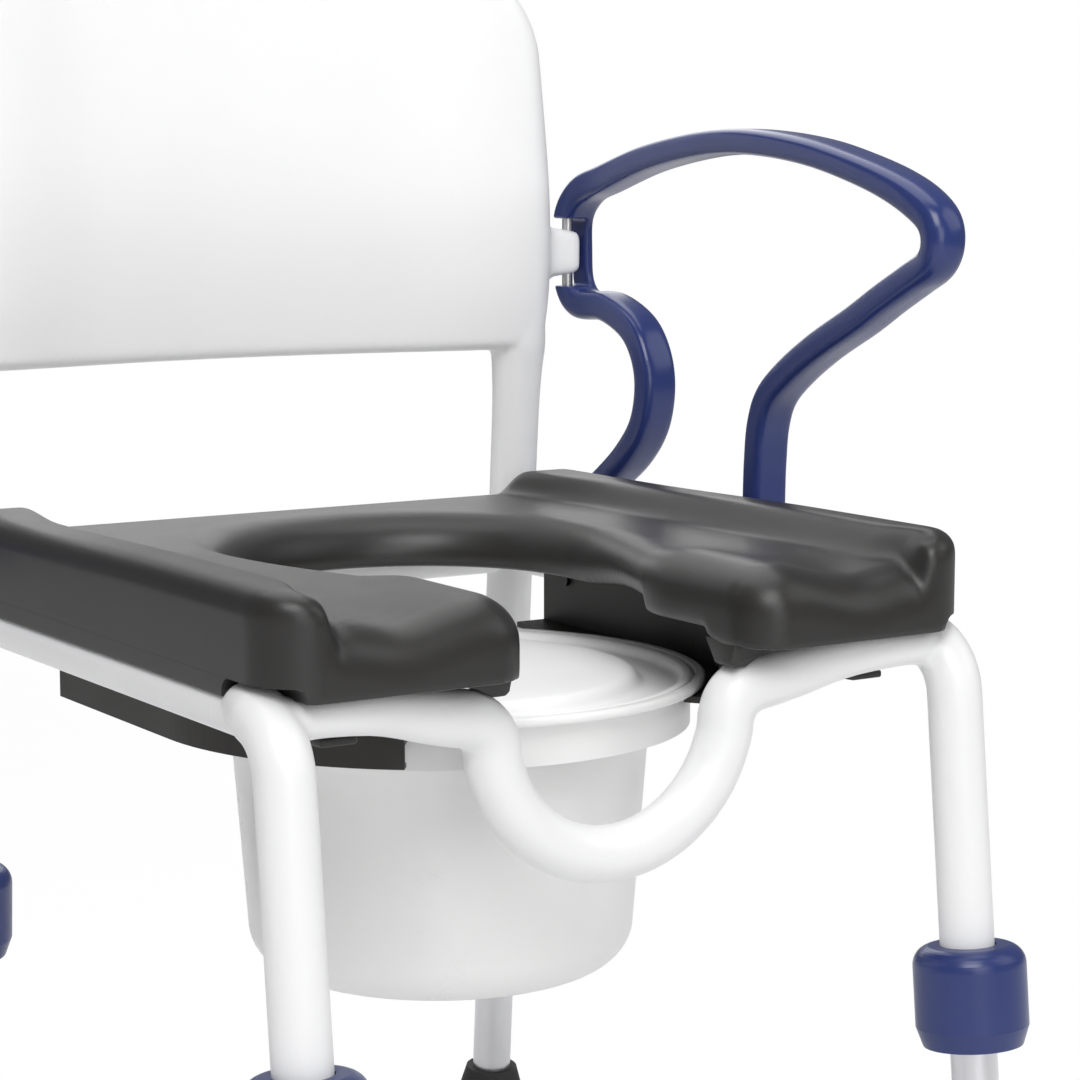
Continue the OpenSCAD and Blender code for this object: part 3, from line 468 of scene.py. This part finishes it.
def lid_surface(u, v):
    """The lid, u along its section and v once around."""
    reach, height = (0.001 * c for c in smooth_line(lid_profile, u))
    return Vector((max(reach, 0.0) * cos(2 * pi * v), max(reach, 0.0) * sin(2 * pi * v), RIM + height))


lid = formed("lid", 248, 160, lid_surface, closed=False)

# Join the sheet's two long edges and its middle points
only(lid)
bpy.ops.object.mode_set(mode="EDIT")
bpy.ops.mesh.select_all(action="SELECT")
bpy.ops.mesh.remove_doubles(threshold=0.00002)
bpy.ops.mesh.normals_make_consistent(inside=False)
bpy.ops.object.mode_set(mode="OBJECT")
bpy.ops.object.shade_smooth()
wear(lid, lid_white)
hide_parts("pan_lid")
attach(lid, "lid")


# ---- Seat -------------------------------------------------------------------
# A pad of dark grey polyurethane foam, moulded with its own skin: side
# bolsters, two front lobes and a keyhole opening with a rounded edge.

PAD_X, PAD_FRONT, PAD_REAR = 0.242, -0.236, 0.225
PAD_TOP = RIM + 0.0812
SIDE_ROLL, REAR_ROLL, FRONT_ROLL = 0.032, 0.020, 0.032     # widths of the rounded outer edges
REAR_LIP, SIDE_LIP, LOBE_LIP = 0.044, 0.035, 0.026         # and of the edge around the opening
OPENING_DROP, FRONT_DROP = 0.030, 0.028       # how far the edges fall
SIDE_DROP, REAR_DROP = 0.014, 0.018
EDGE_W = 0.015                    # width of the side edges' rounding
BOLSTER_X, BOLSTER_H = 0.186, 0.0178    # inner side and height of the side bolsters
LOBE_X, SADDLE_X = 0.106, 0.160   # crest and hollow of the front lobes
NOSE_X, NOSE_W = 0.199, 0.036     # inner side and width of the bolsters' front ends
CREASE_X = 0.202                  # upright crease in the front face
GROOVE_Z, GROOVE_R = RIM + 0.0265, 0.0146     # axes and radius of the grooves over the side rails
SKIRT_X, SKIRT_LOW = 0.236, RIM + 0.0315      # skirt outside the rails
UNDER_Z = RIM + 0.045             # underside of the pad
FACE_Y, FACE_LOW = -0.181, RIM + 0.0375       # where the front face reaches down, and how low
LIP_R = 0.005                     # rounding below the opening
SEAM_Z = RIM + 0.0472             # height of the mould's seam

# Half outlines of the opening and the pad in millimetres, from the middle of
# the rear to the front
opening_edge = [(0, 146), (30, 143), (57, 133), (80, 117), (100, 93), (112, 65), (116, 30), (112, -5),
                (104, -42), (92, -80), (81, -110), (76, -132), (76, -160), (76, -185), (76, -210), (76, -236)]
outer_edge = [(0, 225), (60, 225), (120, 225), (170, 225), (215, 225)]
outer_edge += [(242, y) for y in (200, 150, 90, 30, -20, -65, -105, -140, -175, -206, -236)]


def round_corner(a, b):
    """Shares of the way to two edges that meet in a corner, turned so that it is round."""
    if a <= 0 or b <= 0:
        return max(a, 0.0), max(b, 0.0)
    return a * sqrt(1 - b * b / 2), b * sqrt(1 - a * a / 2)


def drop(a, b, side_drop, end_drop, power=2.0):
    """How far a rounded edge has dropped where a and b of the way to its two edges are gone."""
    c = min(hypot(a, b), 1.0)
    if c <= 0:
        return 0.0
    depth = (side_drop * a * a + end_drop * b * b) / (a * a + b * b)
    return depth * (1 - (1 - c ** power) ** (1 / power))


def pad_underside(x, y, inside):
    """Height of the underside: skirt along the rails, step and lip beside the gap."""
    low = UNDER_Z - 0.004 * ease((inside - 0.03) / 0.03)
    low += 0.009 * ease((y + 0.113) / 0.006) * (1 - ease((y + 0.075) / 0.1)) * (1 - ease(inside / 0.05))
    dip = min(1.0, max(0.0, (FACE_Y - y) / 0.019))
    low = max(low - 0.0075 * sqrt(1 - (1 - dip) ** 2), FACE_LOW)
    if inside < LIP_R and dip == 0:
        low += LIP_R - sqrt(LIP_R ** 2 - (LIP_R - inside) ** 2)
    if x > SKIRT_X:
        low = SKIRT_LOW
    if abs(x - RAIL_X) < GROOVE_R:
        low = max(low, GROOVE_Z + sqrt(GROOVE_R ** 2 - (x - RAIL_X) ** 2))
    return low


def pad_surface(u, v):
    """The pad's skin: v runs round the opening from front to front, and u once around the
    section: out over the top, down the outside, back below and up beside the opening."""
    turn = min(1.0, abs(2 * v - 1) / 0.96)
    cap = min(1.0, (1 - abs(2 * v - 1)) / 0.04)
    side = 1 if v < 0.5 else -1
    if u < 0.5:
        across, level = 2 * u - 0.06 * sin(4 * pi * u), None
    elif u < 0.57:
        across, level = 1.0, 1 - (u - 0.5) / 0.07
    elif u < 0.93:
        across, level = 1 - (u - 0.57) / 0.36, 0.0
    else:
        across, level = 0.0, (u - 0.93) / 0.07
    near = 0.001 * smooth_line(opening_edge, turn, mirrored=True)
    far = 0.001 * smooth_line(outer_edge, turn, mirrored=True)
    spot = near + (far - near) * across
    x, y, inside = max(spot.x, 0.0), spot.y, (spot - near).length

    # Where this point lies on the edges' rounded zones
    widen = ease((y - 0.11) / 0.11)
    narrow = ease((-0.180 - y) / 0.04)
    slant = 0.027 - 0.006 * widen - 0.004 * narrow
    bolster = ease((x - BOLSTER_X + 0.011 * widen - 0.013 * narrow) / slant)
    lobe = ease((-0.085 - y) / 0.05)
    width = REAR_LIP + (SIDE_LIP - REAR_LIP) * ease(turn * 2.6)
    width = width * (1 - lobe) + LOBE_LIP * lobe
    outer = 1 - (PAD_X - x) / SIDE_ROLL
    rear = 1 - (PAD_REAR - y) / REAR_ROLL
    front = 1 - (y - PAD_FRONT) / FRONT_ROLL
    inner = 1 - inside / width
    outer_f, front_o = round_corner(outer, front)
    outer_r, rear_o = round_corner(outer, rear)
    inner_f, front_i = round_corner(inner * lobe, front)
    if front > 0 and outer > 0:
        x, y = PAD_X - SIDE_ROLL * (1 - outer_f), PAD_FRONT + FRONT_ROLL * (1 - front_o)
    elif rear > 0 and outer > 0:
        x, y = PAD_X - SIDE_ROLL * (1 - outer_r), PAD_REAR - REAR_ROLL * (1 - rear_o)
    elif front > 0 and inner > 0 and lobe > 0.9:
        x, y = x + width * (inner - inner_f), PAD_FRONT + FRONT_ROLL * (1 - front_i)

    # Height of the upper side: bolster, lobe, saddle and rounded edges
    if front > 0:
        edge = hypot(outer_f, front_o)
    else:
        edge = hypot(outer_r, rear_o) if rear > 0 else max(outer, 0.0)
    thin = SIDE_DROP * (1 - sqrt(1 - max(0.0, 1 - (1 - min(edge, 1.0)) * SIDE_ROLL / EDGE_W) ** 2))
    end = sqrt(max(0.0, 1 - (1 - min(1.0, (PAD_REAR - y) / 0.026)) ** 2))
    high = (BOLSTER_H - 0.002 * ease((y + 0.1) / 0.2)) * end
    z = PAD_TOP + high * bolster + 0.004 * lobe * exp(-((x - LOBE_X) / 0.022) ** 2)
    z -= 0.0065 * ease((-0.15 - y) / 0.06) * exp(-((x - SADDLE_X) / 0.026) ** 2)
    slope = OPENING_DROP - 0.008 * ease((0.02 - y) / 0.06)
    if front > 0 and inner > 0:
        z -= drop(inner_f, front_i, slope, FRONT_DROP)
    elif front > 0:
        z -= drop(0.0, front_o, 0.0, FRONT_DROP)
    else:
        z -= drop(inner, 0.0, slope, 0.0, 2.3) if inner > 0 else 0.0
        z -= drop(outer_r, rear_o, SIDE_DROP, REAR_DROP) if rear > 0 and x < PAD_X - SIDE_ROLL else thin

    # The bolster's front end: an arch that goes on up to the front face
    if front > 0 and x > NOSE_X:
        arch = sqrt(1 - (1 - min(1.0, (x - NOSE_X) / NOSE_W)) ** 2)
        crown = PAD_TOP + high * (bolster + (arch - bolster) * ease(front / 0.8)) - thin
        z += (crown - z) * ease((x - NOSE_X) / 0.009)

    low = pad_underside(x, y, inside)
    z = max(z, low + 0.006)
    height = z if level is None else low + (z - low) * level
    height = low + (height - low) * cap
    crease = exp(-((x - CREASE_X) / 0.007) ** 2) * ease((height - RIM - 0.055) / 0.02)
    return Vector((side * x, y + 0.003 * crease * ease((-0.19 - y) / 0.046), height))


pad = formed("pad", 150, 400, pad_surface)
seat = fused("seat", [pad], voxel=0.0022, rounds=6)

# Openings in the skirt, over the elbows of the frame
for side in (1, -1):
    cut_box(seat, (side * 0.2455, -0.2165, RIM + 0.0105), (0.052, 0.081, 0.073), bevel=0.008)
only(seat)
bpy.ops.object.shade_smooth_by_angle(angle=radians(40))
seat_skin, skin_surface, place = new_finish("foam_skin")
up = place.node("SeparateXYZ", out=2, Vector=place)
across = place.node("SeparateXYZ", out=0, Vector=place)
# A thin band at the mould's seam along the pad's sides: a groove in the bump, and painted shade that darkens
# the colour as if the groove were in shadow
seam_groove_and_shade = place.math("GREATER_THAN", 0.0005, place.math("ABSOLUTE", up - SEAM_Z))
seam_groove_and_shade = seam_groove_and_shade * place.math("GREATER_THAN", place.math("ABSOLUTE", across), PAD_X - 0.003)
cloud = place.node("TexNoise", Vector=place, Scale=9.0, Detail=3.0, Roughness=0.6)
grain = place.node("TexNoise", Vector=place, Scale=1500.0, Detail=2.0, Roughness=0.5)
skin_grey = cloud.blend((0.0175, 0.0165, 0.0160), (0.0215, 0.0200, 0.0190))
# The seam band's near-black colour below is painted shade, not a colour of the skin
feed(skin_surface,
     Base_Color=seam_groove_and_shade.blend(skin_grey, (0.008, 0.0075, 0.007)),
     Roughness=0.38 + 0.10 * (cloud - 0.5) + 0.08 * (grain - 0.5),
     Normal=place.node("Bump", Strength=1.0, Distance=0.00008, Height=grain - 3.0 * seam_groove_and_shade))
wear(seat, seat_skin)
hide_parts("seat_pad")
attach(seat, "frame")


# ---- Armrests ---------------------------------------------------------------
# Blue moulded loops with a wide top, hinged on the ears of the back and on a
# bracket of the rail. A notch in the rear of each loop takes the ear.

arm_blue = moulded_finish("armrest_moulding", BLUE, 0.24, grain=1500, depth=0.00001, spread=0.06)
ARM_X = 0.266                     # of the loop's axis

# Stations of the loop in millimetres, with half width, half thickness and
# squareness: the rear foot stands 4 mm nearer to the rail than the rest
arm_foot = [
    (262, 250, 49.5, 14, 14, 1), (262, 250, 60, 14, 14, 1), (262.5, 246, 66, 14, 13, 0.9),
    (264.5, 233, 71, 14, 11.5, 0.75)]
arm_loop = [
    (214, 77, 13.5, 10.8, 0.6), (196, 88, 13, 10.5, 0.55), (168, 108, 14, 10.5, 0.5),
    (148, 131, 14, 10.5, 0.5), (141, 158, 14, 10.5, 0.5), (146, 182, 14, 10.5, 0.5),
    (163, 202, 14, 10.5, 0.5), (196, 215, 14, 10.5, 0.5), (230, 216, 14, 10.5, 0.5),
    (246, 230, 14, 10.5, 0.5), (249, 256, 14, 10.5, 0.5), (247, 282, 14, 10.5, 0.5),
    (229, 300, 14, 10.5, 0.5), (199, 309, 14, 10.2, 0.5), (146, 323, 15, 9.5, 0.5),
    (88, 332, 16.2, 9, 0.5), (41, 335, 17, 8.8, 0.5), (-4, 333, 17.8, 8.8, 0.5),
    (-50, 327, 18, 9, 0.52), (-90, 318, 17.6, 9.3, 0.55), (-124, 308, 16.8, 10, 0.6),
    (-150, 297, 16, 11, 0.7), (-167, 285, 15, 11.5, 0.8), (-171.2, 271, 14.5, 11.5, 0.85),
    (-165, 258, 14, 11.2, 0.8), (-147, 248, 14, 10.6, 0.65), (-120, 234, 14, 10.3, 0.55),
    (-93, 219, 14, 10.2, 0.5), (-55, 200, 14, 10.2, 0.5), (-24, 181, 14, 10.2, 0.5),
    (-3, 163, 14, 10.2, 0.5), (6, 143, 14, 10.2, 0.5), (9, 118, 14, 10.2, 0.5),
    (10, 90, 14, 10.2, 0.5), (10, 60, 14, 10.2, 0.5), (8, 24, 13, 10, 0.55)]
arm_stations = [(x / 1000, *rest) for x, *rest in arm_foot] + [(ARM_X, *rest) for rest in arm_loop]
arm_line = [(x, y / 1000, RIM + z / 1000, w / 1000, t / 1000, k) for x, y, z, w, t, k in arm_stations]
arm = bar("armrest", arm_line, SIDEWAYS, 56, 520)
only(arm)
bpy.ops.object.shade_smooth()

# Notch for the ear: open to the inside, the front and the rear
cut_box(arm, (0.257, PIVOT.y, PIVOT.z), (0.030, 0.05, 0.050))
arm = fused("armrest_closed", [arm], voxel=0.00125, rounds=5)
wear(arm, arm_blue)

# The other armrest, mirrored and swung open by 90 degrees about its own pivot
only(arm)
bpy.ops.object.duplicate()
open_arm = bpy.context.object
open_arm.name = "armrest_open"
for vertex in open_arm.data.vertices:
    x, y, z = vertex.co
    vertex.co = (-PIVOT.x + y - PIVOT.y, PIVOT.y + x - PIVOT.x, z)
for piece, part, body in ((arm, "armrest_left", "left_arm"), (open_arm, "armrest_right", "right_arm")):
    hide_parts(part)
    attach(piece, body)
for side in ("left", "right"):
    wear(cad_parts["arm_buffer_" + side], rubber)


# ---- Floor, light and camera ------------------------------------------------
# A pale floor and soft studio light; the camera stands at the chair's right
# front, a little above the seat.

bpy.ops.object.select_all(action="DESELECT")
bpy.ops.mesh.primitive_plane_add(size=14, location=(0, 2, 0))
floor = bpy.context.object
floor.name = "floor"
floor_finish, floor_surface, floor_place = new_finish("floor")
feed(floor_surface, Base_Color=(0.86, 0.86, 0.86, 1), Roughness=0.9)

# The camera sees the floor as plain white, but for the shade around its middle
tree = floor_finish.node_tree
seen = Shade(tree, tree.nodes.new("ShaderNodeLightPath").outputs["Is Camera Ray"])
away = floor_place.node("VectorMath", {"operation": "LENGTH"}, out=1, i0=floor_place)
away = floor_place.node("Math", {"operation": "MINIMUM"}, i0=0.80 + 0.16 * away, i1=1.0)
white = tree.nodes.new("ShaderNodeEmission")
mixed = tree.nodes.new("ShaderNodeMixShader")
tree.links.new((seen * away).socket, mixed.inputs[0])
tree.links.new(floor_surface.outputs[0], mixed.inputs[1])
tree.links.new(white.outputs[0], mixed.inputs[2])
tree.links.new(mixed.outputs[0], tree.nodes["Material Output"].inputs["Surface"])
wear(floor, floor_finish)

LAMPS_AIM = Vector((0, 0, 0.5))
for name, place, size, power in (
        ("key", (-1.6, -2.5, 3.6), 2.4, 112),
        ("fill", (2.6, -2.0, 2.8), 2.6, 26),
        ("front", (-0.9, -3.7, 1.4), 2.0, 29),
        ("top", (0.2, 0.9, 3.4), 3.0, 56),
        ("rear", (1.2, 3.0, 2.2), 2.4, 30)):
    lamp_data = bpy.data.lights.new(name, "AREA")
    lamp_data.size = size
    lamp_data.energy = power
    lamp = bpy.data.objects.new(name, lamp_data)
    lamp.location = place
    lamp.rotation_euler = (LAMPS_AIM - Vector(place)).to_track_quat("-Z", "Y").to_euler()
    bpy.context.scene.collection.objects.link(lamp)

scene = bpy.context.scene
world = bpy.data.worlds.new("studio")
scene.world = world
world.use_nodes = True
tree = world.node_tree
background = tree.nodes["Background"]
background.inputs["Color"].default_value = (1, 1, 1, 1)
rays = Shade(tree, tree.nodes.new("ShaderNodeLightPath").outputs["Is Camera Ray"])
tree.links.new((0.21 + 0.79 * rays).socket, background.inputs["Strength"])

scene.view_settings.view_transform = "Standard"
camera_data = bpy.data.cameras.new("camera")
camera_data.lens = 94.33
camera_data.sensor_width = 36
camera_data.clip_start = 0.05
camera = bpy.data.objects.new("camera", camera_data)
camera.location = (-0.912, -1.531, 0.740)
camera.rotation_euler = (radians(90 - 7.72), 0, radians(-32.84))
scene.collection.objects.link(camera)
scene.camera = camera
